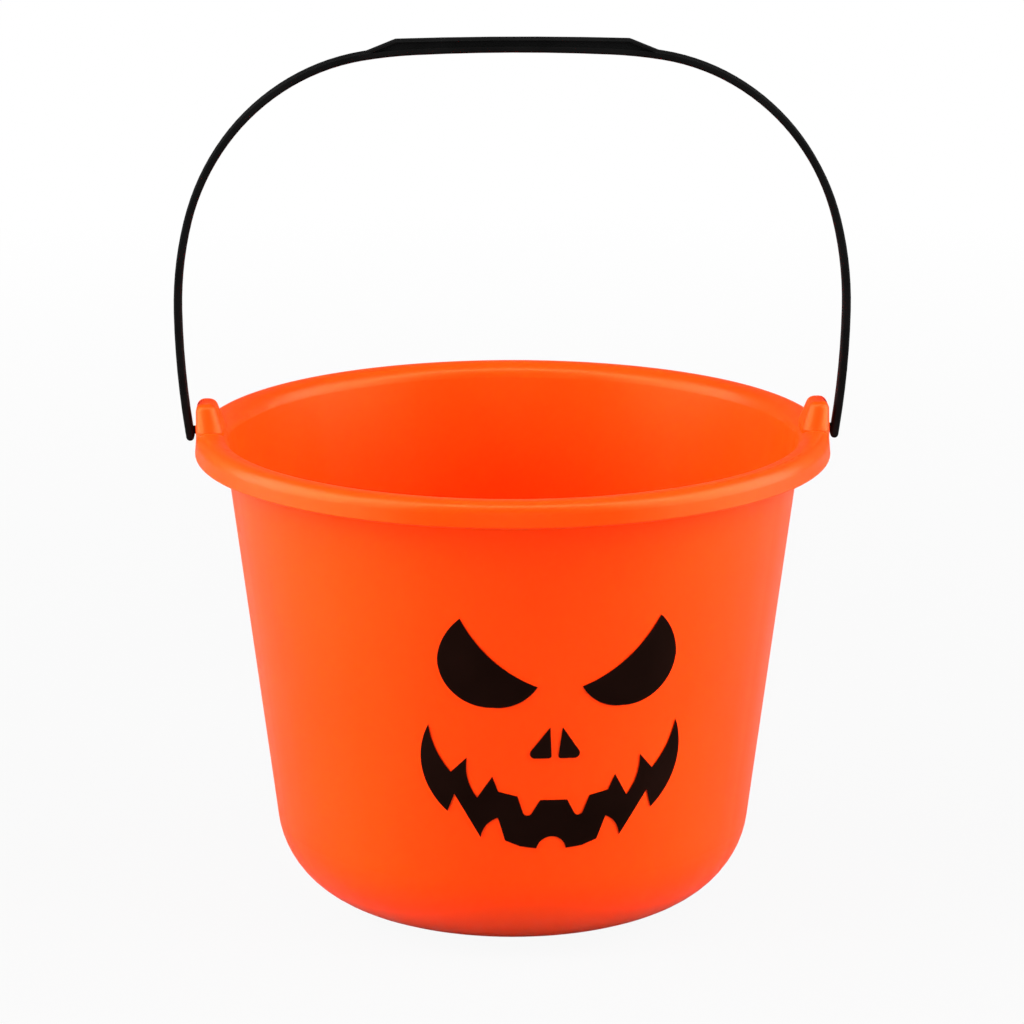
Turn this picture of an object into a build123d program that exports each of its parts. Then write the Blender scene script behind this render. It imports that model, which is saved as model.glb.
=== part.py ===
from build123d import *
import os
from math import cos, radians, sin, tan

# Pumpkin candy pail: a round tapered bucket with a rolled rim and two hollow ears,
# a bail handle that swings on its own moulded pins, and a jack-o'-lantern face in black ink.
# Millimetres, +Z up. The origin is the centre of the foot on the table, the bail's pins lie
# along X, and the face looks towards -Y.

# Pail wall and base
WALL = 1.4               # thickness of the whole moulding
RIM_HEIGHT = 176.0       # table to the crown of the rim
BASE_RADIUS = 83.25      # where the wall's outer line would meet the base plane
BOTTOM_ROUND = 33.5      # outside radius between base and wall
FOOT_INSET = 26.25       # foot ring's outside inside that radius
FOOT_WIDTH = 2.6         # width of the foot ring
FOOT_HEIGHT = 1.0        # how far the foot ring lifts the base

# Rolled rim
RIM_RADIUS = 115.3       # outside of the lip, the widest circle of the pail
RIM_OVERHANG = 11.2      # lip's outside to the wall's outside, at the lip's level
RIM_DROP = 9.0           # crown down to the lip's lower edge
RIM_DRAFT = 0.7          # how much narrower the skirt is at the crown than at the lip
RIM_ROLL_SHARE = 0.402   # outside radius from crown to skirt, of the overhang
MOUTH_ROLL_SHARE = 0.536  # outside radius from inner wall to crown, of the overhang
LIP_ROUND = 0.6          # rounding of the lip's two lower edges

# Ears
EAR_FOOT = 22.0          # along the rim, at the crown
EAR_WIDTH = 13.0         # along the rim, at the top
EAR_RISE = 9.5           # top of the ear above the rim's crown
EAR_SETBACK = 0.7        # ear's flat outer face inside the lip's radius
EAR_STEP = 0.4           # ear's inner face outside the neck of the wall
EAR_LEAN = 3.2           # how far the inner face leans out between crown and top
EAR_CORNER_SHARE = 0.46  # upright corners, of the ear's depth at their level
EAR_ROUND_SHARE = 0.42   # top edge, of the ear's depth at the top

# Pivot pins of the bail
PIN_RADIUS = 1.5
PIN_CLEARANCE = 0.1      # radial, pin to its hole
PIN_DROP = 1.0           # pin axis below the rim's crown
HEAD_RADIUS = 2.8        # button head inside the ear
HEAD_LENGTH = 2.0
HEAD_TAPER = 25.0        # degrees of lead-in that let the head snap through its hole
HEAD_CLEARANCE = 0.4     # head to the inside of the ear's wall

# Bail rod
BAIL_RISE = 138.7        # pin axis to the middle of the rod at the top of the arch
BAIL_GAP = 1.2           # ear's face to the inside of the rod, at the pin
ROD_THICKNESS = 2.9      # in the plane of the arch
ROD_DEPTH = 6.0          # across the plane of the arch
ROD_ROUND = 0.9          # rounding of the rod's long edges
TAIL = 3.7               # end of the rod beyond the pin axis

# Grip
GRIP_FLAT = 83.0         # between the two top corners
GRIP_SLOPE = 17.0        # run of the slope from each corner down to the rod's middle line
GRIP_RISE = 3.7          # middle of the grip's top above the middle of the rod
GRIP_CROWN = 0.6         # middle of the grip's top above its corners
GRIP_STEP = 0.25         # grip's sides inside the rod's sides
GRIP_ROUND = 0.6         # rounding of the grip's two long top edges
GRIP_LIP = 0.8           # solid border round the pocket
POCKET_DEPTH = 1.2       # pocket on each side of the web

# Printed face
FACE_TURN = 8.3          # degrees from the front towards +X
FACE_TILT = 1.7          # degrees that the print leans clockwise
FACE_WIDTH = 91.4        # across the mouth
FACE_HEIGHT = 85.8       # bottom of the mouth to the tips of the eyes
FACE_LOW = 44.2          # table to the bottom of the mouth
INK = 0.15               # thickness of the film
INK_STANDOFF = 0.2       # film off the wall
NOSE_SHIFT = 0.5         # nostrils off the middle of the face, towards -X
NOSTRIL_INNER_ROUND = 0.9
NOSTRIL_OUTER_ROUND = 1.8
TOOTH_ROUND = 1.7        # rounded gap between two upper teeth

CUT_OVERRUN = 2.0        # how far cutters run past what they cut

# Arch of the rod, from its top to the pin: shares of the half span and of the rise
ARCH_SHARES = [
    (0.000, 1.000),
    (0.300, 0.994),
    (0.456, 0.980),
    (0.675, 0.913),
    (0.875, 0.761),
    (0.993, 0.552),
    (1.028, 0.315),
    (1.000, 0.000),
]

# Face outlines: shares of half the face's width, from its middle, and of its height, from its bottom.
# One pair ends a straight stretch, two pairs are a point on an arc and the arc's end.
FACE_MIDDLE_SHARE = 0.5
EYE_START_SHARES = (0.777, 1.000)
EYE_SHARES = [
    [(0.905, 0.887), (0.924, 0.821)],
    [(0.800, 0.678), (0.500, 0.622)],
    [(0.288, 0.652), (0.174, 0.716)],
    [(0.551, 0.842), (0.777, 1.000)],
]
NOSTRIL_SHARES = [(0.048, 0.540), (0.025, 0.404), (0.230, 0.403)]
MOUTH_START_SHARES = (0.000, 0.219)
TOOTH_SHARES = (0.205, 0.120)
MOUTH_SHARES = [
    [(0.105, 0.219)],
    [TOOTH_SHARES],
    [(0.280, 0.234)],
    [(0.427, 0.252)],
    [(0.477, 0.318)],
    [(0.580, 0.221)],
    [(0.646, 0.284), (0.672, 0.396)],
    [(0.783, 0.326)],
    [(0.888, 0.408), (0.961, 0.527)],
    [(0.992, 0.335), (0.792, 0.150)],
    [(0.748, 0.230)],
    [(0.538, 0.044)],
    [(0.488, 0.110), (0.418, 0.137)],
    [(0.355, 0.036)],
    [(0.239, 0.012)],
    [(0.114, 0.003)],
    [(0.077, 0.040), (0.000, 0.057)],
]

# Places that follow from the sizes
LIP_HEIGHT = RIM_HEIGHT - RIM_DROP
FOOT_RADIUS = BASE_RADIUS - FOOT_INSET
NECK_RADIUS = RIM_RADIUS - RIM_OVERHANG
RIM_ROLL = RIM_ROLL_SHARE * RIM_OVERHANG
MOUTH_ROLL = MOUTH_ROLL_SHARE * RIM_OVERHANG
WALL_RUN = (NECK_RADIUS - BASE_RADIUS) / (LIP_HEIGHT - FOOT_HEIGHT)
CROWN_UNDER = RIM_HEIGHT - WALL
EAR_FACE = RIM_RADIUS - EAR_SETBACK
EAR_BACK = NECK_RADIUS + EAR_STEP
EAR_TOP = RIM_HEIGHT + EAR_RISE
PIN_HEIGHT = RIM_HEIGHT - PIN_DROP
HALF_SPAN = EAR_FACE + BAIL_GAP + ROD_THICKNESS / 2
HEAD_FACE = EAR_FACE - WALL - HEAD_CLEARANCE
PIN_LENGTH = HALF_SPAN - HEAD_FACE + HEAD_LENGTH / 2
FACE_HALF = FACE_WIDTH / 2


def wall_radius(height):
    """Outside radius of the tapered wall at a height above the table."""
    return BASE_RADIUS + WALL_RUN * (height - FOOT_HEIGHT)


def draw_underside():
    """Underside of the moulded sheet, from the middle of the base to the lip."""
    return FilletPolyline(
        (0, FOOT_HEIGHT),
        (BASE_RADIUS, FOOT_HEIGHT),
        (wall_radius(CROWN_UNDER), CROWN_UNDER),
        (RIM_RADIUS - RIM_DRAFT - WALL, CROWN_UNDER),
        (RIM_RADIUS - WALL, LIP_HEIGHT),
        radius=[BOTTOM_ROUND, MOUTH_ROLL - WALL, RIM_ROLL - WALL],
    )


def draw_ear(height, width, lean, inset):
    """Level outline of the +X ear at a height, drawn in by the inset; its inner side leans out."""
    depth = EAR_FACE - EAR_BACK - lean - 2 * inset
    middle = EAR_FACE - inset - depth / 2
    with BuildSketch(Plane.XY.offset(height)) as outline:
        with Locations((middle, 0)):
            RectangleRounded(depth, width - 2 * inset, radius=EAR_CORNER_SHARE * depth)
    return outline.sketch


def make_ear(inset):
    """Rounded block of the +X ear, drawn in on all sides by the inset."""
    foot = draw_ear(RIM_HEIGHT, EAR_FOOT, 0, inset)
    with BuildPart() as block:
        loft([foot, draw_ear(EAR_TOP - inset, EAR_WIDTH, EAR_LEAN, inset)])
        top_edges = block.faces().sort_by(Axis.Z)[-1].edges()
        fillet(top_edges, radius=EAR_ROUND_SHARE * (EAR_FACE - EAR_BACK - EAR_LEAN) - inset)
        extrude(foot, amount=-RIM_DROP)
    return block.part


# Solid ear, cut along the middle of the rim's sheet so that nothing of it hangs in the rim's channel
with BuildPart() as ear:
    add(make_ear(0))
    with BuildSketch(Plane.XZ):
        with BuildLine():
            channel = FilletPolyline(
                (wall_radius(LIP_HEIGHT - CUT_OVERRUN), LIP_HEIGHT - CUT_OVERRUN),
                (wall_radius(CROWN_UNDER), CROWN_UNDER),
                (RIM_RADIUS - RIM_DRAFT - WALL, CROWN_UNDER),
                (RIM_RADIUS - WALL, LIP_HEIGHT - CUT_OVERRUN),
                radius=[MOUTH_ROLL - WALL, RIM_ROLL - WALL],
            )
            Line(channel @ 1, channel @ 0)
        make_face()
        offset(amount=WALL / 2)
    revolve(axis=Axis.Z, mode=Mode.SUBTRACT)

# Pail: one moulded sheet with a foot ring, and two ears that are hollow and open into the rim's channel
with BuildPart() as pail:
    with BuildSketch(Plane.XZ) as section:
        with BuildLine():
            draw_underside()
            offset(amount=WALL, side=Side.LEFT)
        make_face()
        lip_corners = section.vertices().sort_by_distance((RIM_RADIUS - WALL / 2, LIP_HEIGHT))[:2]
        fillet(lip_corners, radius=LIP_ROUND)
    revolve(axis=Axis.Z)
    with BuildSketch():
        Circle(FOOT_RADIUS)
        Circle(FOOT_RADIUS - FOOT_WIDTH, mode=Mode.SUBTRACT)
    extrude(amount=FOOT_HEIGHT + WALL / 2)
    hollow = make_ear(WALL)
    add(ear.part)
    mirror(ear.part, about=Plane.YZ)
    add(hollow, mode=Mode.SUBTRACT)
    mirror(hollow, about=Plane.YZ, mode=Mode.SUBTRACT)
    for side in (1, -1):
        with Locations(Plane(origin=(side * EAR_FACE, 0, PIN_HEIGHT), z_dir=(side, 0, 0))):
            Hole(PIN_RADIUS + PIN_CLEARANCE, depth=WALL + CUT_OVERRUN)


def arch_point(shares):
    """Point on the middle line of the rod, in the plane of the arch."""
    return Vector(shares[0] * HALF_SPAN, PIN_HEIGHT + shares[1] * BAIL_RISE)


def draw_arch(tail):
    """Middle line of the rod: tangent arcs through the arch's points and a straight tail, mirrored."""
    points = [arch_point(shares) for shares in ARCH_SHARES]
    direction = Vector(1, 0)
    for start, end in zip(points, points[1:]):
        arc = TangentArc(start, end, tangent=direction)
        direction = arc % 1
    if tail:
        Line(points[-1], points[-1] + direction * tail)
    mirror(about=Plane.YZ)


def arch_height(distance):
    """Height of the rod's middle line at a distance from the pail's middle plane."""
    with BuildLine() as arch:
        draw_arch(0)
    upright = Edge.make_line((distance, PIN_HEIGHT), (distance, PIN_HEIGHT + BAIL_RISE))
    return (arch.line & upright).vertices()[-1].Y


def draw_grip():
    """Side of the grip above the rod's middle line, in the plane of the arch."""
    foot = GRIP_FLAT / 2 + GRIP_SLOPE
    foot_height = arch_height(foot)
    top = PIN_HEIGHT + BAIL_RISE + GRIP_RISE
    corner = Vector(GRIP_FLAT / 2, top - GRIP_CROWN)
    with BuildSketch() as grip_side:
        with BuildLine():
            Line((-foot, foot_height), (-corner.X, corner.Y))
            ThreePointArc((-corner.X, corner.Y), (0, top), corner)
            Polyline(corner, (foot, foot_height), (foot, PIN_HEIGHT), (-foot, PIN_HEIGHT), (-foot, foot_height))
        make_face()
        with BuildLine():
            draw_arch(0)
            Line(arch_point(ARCH_SHARES[-1]), (-HALF_SPAN, PIN_HEIGHT))
        make_face(mode=Mode.SUBTRACT)
    return grip_side.sketch


# Bail handle: one moulded rod with rounded tails, a grip on its top that is hollowed out on both sides,
# and a headed pin at each end
grip_side = draw_grip()
with BuildPart() as bail_handle:
    with BuildSketch(Plane.XZ):
        with BuildLine():
            draw_arch(TAIL - ROD_THICKNESS / 2)
            offset(amount=ROD_THICKNESS / 2, side=Side.BOTH)
        make_face()
    extrude(amount=ROD_DEPTH / 2, both=True)
    flats = bail_handle.faces().filter_by(Axis.Y)
    fillet(flats.edges(), radius=ROD_ROUND)
    with BuildSketch(Plane.XZ):
        add(grip_side)
    extrude(amount=ROD_DEPTH / 2 - GRIP_STEP, both=True)
    top_face = bail_handle.faces().sort_by(Axis.Z)[-1]
    fillet(top_face.edges().sort_by(SortBy.LENGTH)[-2:], radius=GRIP_ROUND)
    for side in (1, -1):
        with BuildSketch(Plane.XZ.offset(side * (ROD_DEPTH / 2 + CUT_OVERRUN))):
            add(grip_side)
            offset(amount=-GRIP_LIP)
        extrude(amount=-side * (CUT_OVERRUN + POCKET_DEPTH), mode=Mode.SUBTRACT)
        with BuildSketch(Plane(origin=(side * HALF_SPAN, 0, PIN_HEIGHT), z_dir=(-side, 0, 0))):
            Circle(PIN_RADIUS)
        extrude(amount=PIN_LENGTH)
        with BuildSketch(Plane(origin=(side * HEAD_FACE, 0, PIN_HEIGHT), z_dir=(-side, 0, 0))):
            Circle(HEAD_RADIUS)
        extrude(amount=HEAD_LENGTH, taper=HEAD_TAPER)


# Thin skin round the wall that the ink areas are cut from
with BuildPart() as ink_skin:
    low = FACE_LOW - CUT_OVERRUN
    high = FACE_LOW + FACE_HEIGHT + CUT_OVERRUN
    with BuildSketch(Plane.XZ):
        with BuildLine():
            Polyline(
                (wall_radius(low) + INK_STANDOFF, low),
                (wall_radius(low) + INK_STANDOFF + INK, low),
                (wall_radius(high) + INK_STANDOFF + INK, high),
                (wall_radius(high) + INK_STANDOFF, high),
                close=True,
            )
        make_face()
    revolve(axis=Axis.Z)


def face_plane():
    """Plane in front of the pail that the face is drawn on, looking at it square on."""
    turn = radians(FACE_TURN)
    outward = Vector(sin(turn), -cos(turn), 0)
    middle = Vector(0, 0, FACE_LOW + FACE_HEIGHT / 2)
    across = Vector(cos(turn), sin(turn), -tan(radians(FACE_TILT)))
    return Plane(origin=middle + outward * RIM_RADIUS, x_dir=across, z_dir=outward)


def face_point(shares, side):
    """Point of a face outline; side is 1 for the half towards +X and -1 for its mirror image."""
    return Vector(side * shares[0] * FACE_HALF, (shares[1] - FACE_MIDDLE_SHARE) * FACE_HEIGHT)


def draw_stretches(start_shares, stretches, side):
    """Straight stretches and arcs, one after another, of a face outline."""
    start = face_point(start_shares, side)
    for stretch in stretches:
        points = [face_point(shares, side) for shares in stretch]
        if len(points) == 1:
            Line(start, points[0])
        else:
            ThreePointArc(start, points[0], points[1])
        start = points[-1]


def make_eye(side):
    """Leaf-shaped eye on one side of the face."""
    with BuildPart() as eye:
        with BuildSketch(face_plane()):
            with BuildLine():
                draw_stretches(EYE_START_SHARES, EYE_SHARES, side)
            make_face()
        extrude(amount=-RIM_RADIUS)
        add(ink_skin.part, mode=Mode.INTERSECT)
    return eye


def make_nostril(side):
    """Nostril on one side of the face: a triangle with two rounded lower corners."""
    shift = Vector(-NOSE_SHIFT, 0)
    tip, inner, outer = [face_point(shares, side) + shift for shares in NOSTRIL_SHARES]
    with BuildPart() as nostril:
        with BuildSketch(face_plane()) as outline:
            with BuildLine():
                Polyline(tip, inner, outer, close=True)
            make_face()
            for corner, radius in ((inner, NOSTRIL_INNER_ROUND), (outer, NOSTRIL_OUTER_ROUND)):
                fillet(outline.vertices().sort_by_distance(corner)[0], radius=radius)
        extrude(amount=-RIM_RADIUS)
        add(ink_skin.part, mode=Mode.INTERSECT)
    return nostril


left_eye = make_eye(-1)
right_eye = make_eye(1)
left_nostril = make_nostril(-1)
right_nostril = make_nostril(1)

# Mouth: half its jagged outline, closed along the middle of the face and mirrored
with BuildPart() as mouth:
    with BuildSketch(face_plane()) as mouth_outline:
        with BuildLine():
            draw_stretches(MOUTH_START_SHARES, MOUTH_SHARES, 1)
            Line(face_point(MOUTH_SHARES[-1][-1], 1), face_point(MOUTH_START_SHARES, 1))
        make_face()
        mirror(about=Plane.YZ)
        for side in (1, -1):
            tooth_tip = mouth_outline.vertices().sort_by_distance(face_point(TOOTH_SHARES, side))[0]
            fillet(tooth_tip, radius=TOOTH_ROUND)
    extrude(amount=-RIM_RADIUS)
    add(ink_skin.part, mode=Mode.INTERSECT)

pieces = {
    "pail": pail,
    "bail_handle": bail_handle,
    "left_eye": left_eye,
    "right_eye": right_eye,
    "left_nostril": left_nostril,
    "right_nostril": right_nostril,
    "mouth": mouth,
}
os.makedirs("parts", exist_ok=True)
for name, piece in pieces.items():
    piece.part.label = name
    export_step(piece.part, f"parts/{name}.step")
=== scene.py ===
import bpy
from math import radians
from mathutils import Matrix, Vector
from typing import NamedTuple

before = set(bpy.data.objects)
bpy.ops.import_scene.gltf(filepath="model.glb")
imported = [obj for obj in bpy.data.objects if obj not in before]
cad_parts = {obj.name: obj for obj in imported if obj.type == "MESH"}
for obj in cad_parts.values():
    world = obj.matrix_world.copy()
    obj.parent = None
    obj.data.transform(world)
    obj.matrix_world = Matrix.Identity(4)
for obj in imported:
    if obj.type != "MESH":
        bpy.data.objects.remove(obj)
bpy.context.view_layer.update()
scene = bpy.context.scene
scene.view_settings.view_transform = "Standard"


class Grain(NamedTuple):
    """One noise pattern of a surface, and the bump that it makes there."""

    scale: float
    detail: float
    depth: float = 0.0  # of the bump, in metres
    strength: float = 0.0


class Lamp(NamedTuple):
    """Rectangular lamp, which may be left out of the gloss or of the diffuse light."""

    place: tuple
    size: tuple
    power: float
    in_gloss: bool = True
    in_diffuse: bool = True


# Camera: a long lens, a little to the left of the pail's middle and looking down at it
SENSOR = 36.0
LENS = 146.25
CAMERA_PLACE = (-0.03106, -1.47066, 0.523)
CAMERA_PITCH = 75.534  # degrees
CAMERA_TURN = -1.2  # degrees
CAMERA_REACH = 50.0

# Light: boxes all round light the colours, two large dim panels show in the gloss
LAMP_AIM = Vector((0, 0, 0.12))
LAMPS = {
    "left_box": Lamp(place=(-1.2, -0.2, 0.62), size=(1.2, 1.1), power=61.0, in_gloss=False),
    "right_box": Lamp(place=(1.2, -0.2, 0.62), size=(1.2, 1.1), power=52.0, in_gloss=False),
    "top_box": Lamp(place=(0, -0.45, 1.3), size=(2.4, 0.2), power=14.0),
    "front_box": Lamp(place=(0, -2.2, 0.4), size=(1.2, 0.8), power=18.0, in_gloss=False),
    "back_box": Lamp(place=(0, 2.2, 0.5), size=(1.2, 0.8), power=20.0, in_gloss=False),
    "left_panel": Lamp(place=(-1.28, -0.22, 0.7), size=(2.0, 1.6), power=25.0, in_diffuse=False),
    "right_panel": Lamp(place=(1.28, -0.22, 0.7), size=(2.0, 1.6), power=25.0, in_diffuse=False),
}
WORLD_STRENGTH = 0.1
SEEN_STRENGTH = 1.0  # where the camera looks past the floor

# Floor: the share of plain white that the camera sees grows from near to far
FLOOR_HALF = 6.0
FLOOR_COLOUR = (0.15, 0.15, 0.15)
FLOOR_ROUGHNESS = 1.0
FLOOR_SPECULAR = 0.0
GLOW_NEAR = 0.35
GLOW_FAR = 1.4
GLOW_NEAR_SHARE = 0.93

# Colours, linear
ORANGE = (0.98, 0.039, 0.001)
ORANGE_PALE = (0.98, 0.044, 0.0014)
BLACK = (0.0014, 0.0014, 0.0014)
BLACK_PALE = (0.003, 0.003, 0.003)
INK = (0.0045, 0.0014, 0.0008)
INK_PALE = (0.007, 0.0022, 0.0014)
WHITE = (1.0, 1.0, 1.0)
OPAQUE = 1.0

# Noise keeps mostly to this part of its range, which is spread over the wanted one
NOISE_LOW = 0.3
NOISE_HIGH = 0.7

# Orange plastic: flow streaks up the wall, low waves round it, faint clouds and a fine peel
ORANGE_STREAKS = Grain(scale=1.0, detail=3.0)
STREAK_TURNS = 9.0
STREAK_RISE = 2.0
ORANGE_WAVES = Grain(scale=1.0, detail=1.0, depth=0.0005, strength=0.25)
WAVE_TURNS = 2.2
WAVE_RISE = 9.0
ORANGE_CLOUDS = Grain(scale=14.0, detail=4.0)
ORANGE_PEEL = Grain(scale=420.0, detail=2.0, depth=0.00002, strength=0.3)
ORANGE_ROUGHNESS = (0.28, 0.36)
ORANGE_SPECULAR = 0.5
ORANGE_TINT = (1.0, 0.6, 0.2)
TRANSLUCENCY = 0.25
TRANSLUCENT_RADIUS = (1.0, 0.25, 0.05)
TRANSLUCENT_SCALE = 0.004

# Black plastic: uneven gloss and a fine grain
BLACK_CLOUDS = Grain(scale=60.0, detail=4.0, depth=0.0002, strength=0.2)
BLACK_GRAIN = Grain(scale=2600.0, detail=2.0, depth=0.00004, strength=0.35)
BLACK_ROUGHNESS = (0.5, 0.62)
BLACK_SPECULAR = 0.05

# Ink: satin, with a fine mottle
INK_MOTTLE = Grain(scale=900.0, detail=3.0, depth=0.00002, strength=0.3)
INK_CLOUDS = Grain(scale=40.0, detail=3.0)
INK_ROUGHNESS = (0.42, 0.55)
INK_SPECULAR = 0.02


class Shader:
    """Small helper that adds nodes to one material and links them."""

    def __init__(self, name):
        self.material = bpy.data.materials.new(name)
        self.material.use_nodes = True
        self.tree = self.material.node_tree
        self.bsdf = self.tree.nodes["Principled BSDF"]
        self.place = self.add("ShaderNodeTexCoord").outputs["Object"]

    def add(self, kind, **settings):
        node = self.tree.nodes.new(kind)
        for key, value in settings.items():
            setattr(node, key, value)
        return node

    def link(self, source, target):
        self.tree.links.new(source, target)

    def set(self, **values):
        """Constant values on the shader's own sockets, such as Specular_Tint."""
        for key, value in values.items():
            self.bsdf.inputs[key.replace("_", " ")].default_value = value

    def math(self, operation, first, second=None):
        node = self.add("ShaderNodeMath", operation=operation)
        for socket, value in zip(node.inputs, (first, second)):
            if isinstance(value, (int, float)):
                socket.default_value = value
            elif value is not None:
                self.link(value, socket)
        return node.outputs[0]

    def noise(self, grain, where=None):
        node = self.add("ShaderNodeTexNoise")
        node.inputs["Scale"].default_value = grain.scale
        node.inputs["Detail"].default_value = grain.detail
        self.link(where or self.place, node.inputs["Vector"])
        return node.outputs["Fac"]

    def spread(self, noise, low, high):
        node = self.add("ShaderNodeMapRange")
        node.inputs["From Min"].default_value = NOISE_LOW
        node.inputs["From Max"].default_value = NOISE_HIGH
        node.inputs["To Min"].default_value = low
        node.inputs["To Max"].default_value = high
        self.link(noise, node.inputs["Value"])
        return node.outputs["Result"]

    def colour(self, noise, first, second):
        """Base colour that goes from the first colour to the second with the noise."""
        factor = self.spread(noise, 0.0, 1.0)
        node = self.add("ShaderNodeMix", data_type="RGBA")
        node.inputs["A"].default_value = (*first, OPAQUE)
        node.inputs["B"].default_value = (*second, OPAQUE)
        self.link(factor, node.inputs["Factor"])
        self.link(node.outputs["Result"], self.bsdf.inputs["Base Color"])

    def roughness(self, noise, limits):
        self.link(self.spread(noise, *limits), self.bsdf.inputs["Roughness"])

    def bump(self, *layers):
        """Bumps on top of each other; a layer is a noise and its grain."""
        normal = None
        for noise, grain in layers:
            node = self.add("ShaderNodeBump")
            node.inputs["Distance"].default_value = grain.depth
            node.inputs["Strength"].default_value = grain.strength
            self.link(noise, node.inputs["Height"])
            if normal is not None:
                self.link(normal, node.inputs["Normal"])
            normal = node.outputs["Normal"]
        self.link(normal, self.bsdf.inputs["Normal"])

    def around(self, turns, rise):
        """Coordinates that run round the pail's axis and up it."""
        split = self.add("ShaderNodeSeparateXYZ")
        self.link(self.place, split.inputs[0])
        angle = self.math("ARCTAN2", split.outputs["Y"], split.outputs["X"])
        cosine = self.math("MULTIPLY", self.math("COSINE", angle), turns)
        sine = self.math("MULTIPLY", self.math("SINE", angle), turns)
        height = self.math("MULTIPLY", split.outputs["Z"], rise)
        join = self.add("ShaderNodeCombineXYZ")
        for value, socket in zip((cosine, sine, height), join.inputs):
            self.link(value, socket)
        return join.outputs[0]


def orange_plastic():
    shader = Shader("orange_plastic")
    streaks = shader.noise(ORANGE_STREAKS, shader.around(STREAK_TURNS, STREAK_RISE))
    waves = shader.noise(ORANGE_WAVES, shader.around(WAVE_TURNS, WAVE_RISE))
    clouds = shader.noise(ORANGE_CLOUDS)
    peel = shader.noise(ORANGE_PEEL)
    shader.colour(clouds, ORANGE, ORANGE_PALE)
    shader.roughness(streaks, ORANGE_ROUGHNESS)
    shader.bump((waves, ORANGE_WAVES), (peel, ORANGE_PEEL))
    shader.set(Specular_IOR_Level=ORANGE_SPECULAR, Specular_Tint=(*ORANGE_TINT, OPAQUE))
    shader.set(Subsurface_Weight=TRANSLUCENCY, Subsurface_Radius=TRANSLUCENT_RADIUS)
    shader.set(Subsurface_Scale=TRANSLUCENT_SCALE)
    return shader.material


def black_plastic():
    shader = Shader("black_plastic")
    clouds = shader.noise(BLACK_CLOUDS)
    grain = shader.noise(BLACK_GRAIN)
    shader.colour(clouds, BLACK, BLACK_PALE)
    shader.roughness(clouds, BLACK_ROUGHNESS)
    shader.bump((clouds, BLACK_CLOUDS), (grain, BLACK_GRAIN))
    shader.set(Specular_IOR_Level=BLACK_SPECULAR)
    return shader.material


def face_ink():
    shader = Shader("face_ink")
    mottle = shader.noise(INK_MOTTLE)
    clouds = shader.noise(INK_CLOUDS)
    shader.colour(clouds, INK, INK_PALE)
    shader.roughness(mottle, INK_ROUGHNESS)
    shader.bump((mottle, INK_MOTTLE))
    shader.set(Specular_IOR_Level=INK_SPECULAR)
    return shader.material


def floor_white():
    """Diffuse grey for the light, with a share of plain white where the camera sees it."""
    shader = Shader("floor")
    shader.set(Base_Color=(*FLOOR_COLOUR, OPAQUE), Roughness=FLOOR_ROUGHNESS)
    shader.set(Specular_IOR_Level=FLOOR_SPECULAR)
    glow = shader.add("ShaderNodeEmission")
    blend = shader.add("ShaderNodeMixShader")
    rays = shader.add("ShaderNodeLightPath")
    distance = shader.add("ShaderNodeVectorMath", operation="LENGTH")
    shader.link(shader.place, distance.inputs[0])
    share = shader.add("ShaderNodeMapRange")
    share.inputs["From Min"].default_value = GLOW_NEAR
    share.inputs["From Max"].default_value = GLOW_FAR
    share.inputs["To Min"].default_value = GLOW_NEAR_SHARE
    shader.link(distance.outputs["Value"], share.inputs["Value"])
    seen = shader.math("MULTIPLY", rays.outputs["Is Camera Ray"], share.outputs["Result"])
    for source, socket in zip((seen, shader.bsdf.outputs[0], glow.outputs[0]), blend.inputs):
        shader.link(source, socket)
    shader.link(blend.outputs[0], shader.tree.nodes["Material Output"].inputs["Surface"])
    return shader.material


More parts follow.
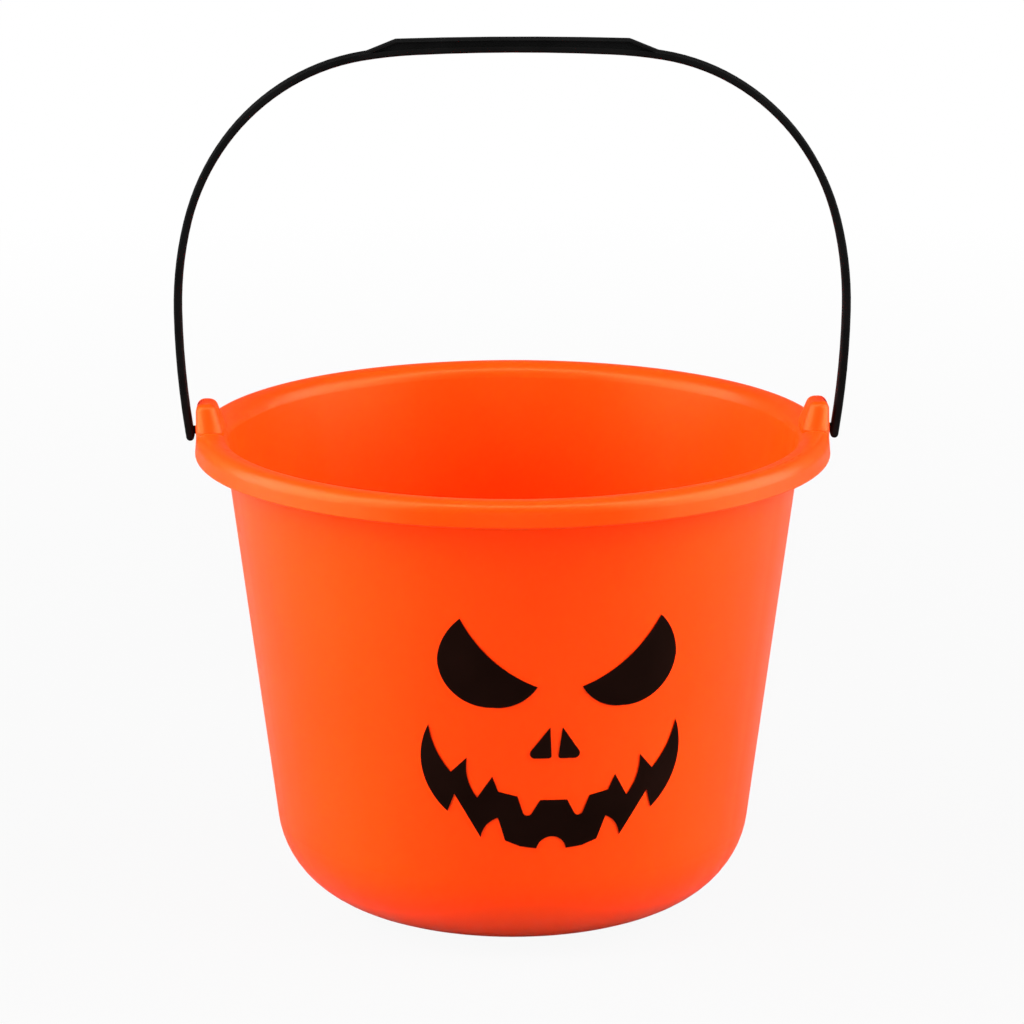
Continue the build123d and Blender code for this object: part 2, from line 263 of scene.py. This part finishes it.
def soft_box(name, lamp):
    """Lamp that looks at the pail and that the camera doesn't see."""
    box = bpy.data.objects.new(name, bpy.data.lights.new(name, "AREA"))
    box.data.shape = "RECTANGLE"
    box.data.size, box.data.size_y = lamp.size
    box.data.energy = lamp.power
    box.location = lamp.place
    box.rotation_mode = "QUATERNION"
    box.rotation_quaternion = (box.location - LAMP_AIM).to_track_quat("Z", "Y")
    box.visible_camera = False
    box.visible_glossy = lamp.in_gloss
    box.visible_diffuse = lamp.in_diffuse
    scene.collection.objects.link(box)


# Materials of the CAD nodes
plastic = orange_plastic()
black = black_plastic()
ink = face_ink()
looks = {
    "pail": plastic,
    "bail_handle": black,
    "left_eye": ink,
    "right_eye": ink,
    "left_nostril": ink,
    "right_nostril": ink,
    "mouth": ink,
}
for name, material in looks.items():
    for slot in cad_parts[name].material_slots:
        slot.material = material

# Camera
camera = bpy.data.objects.new("camera", bpy.data.cameras.new("camera"))
camera.data.sensor_width = SENSOR
camera.data.lens = LENS
camera.data.clip_end = CAMERA_REACH
camera.location = CAMERA_PLACE
camera.rotation_euler = (radians(CAMERA_PITCH), 0, radians(CAMERA_TURN))
scene.collection.objects.link(camera)
scene.camera = camera

# Floor
floor_mesh = bpy.data.meshes.new("floor")
signs = ((-1, -1), (1, -1), (1, 1), (-1, 1))
corners = [(x * FLOOR_HALF, y * FLOOR_HALF, 0) for x, y in signs]
floor_mesh.from_pydata(corners, [], [range(len(corners))])
floor = bpy.data.objects.new("floor", floor_mesh)
scene.collection.objects.link(floor)
floor_mesh.materials.append(floor_white())

# World: even soft light, plain white where the camera looks past the floor
world = bpy.data.worlds.new("world")
world.use_nodes = True
scene.world = world
sky = world.node_tree.nodes["Background"]
sky.inputs["Color"].default_value = (*WHITE, OPAQUE)
rays = world.node_tree.nodes.new("ShaderNodeLightPath")
level = world.node_tree.nodes.new("ShaderNodeMapRange")
level.inputs["To Min"].default_value = WORLD_STRENGTH
level.inputs["To Max"].default_value = SEEN_STRENGTH
world.node_tree.links.new(rays.outputs["Is Camera Ray"], level.inputs["Value"])
world.node_tree.links.new(level.outputs["Result"], sky.inputs["Strength"])

# Lamps
for name, lamp in LAMPS.items():
    soft_box(name, lamp)
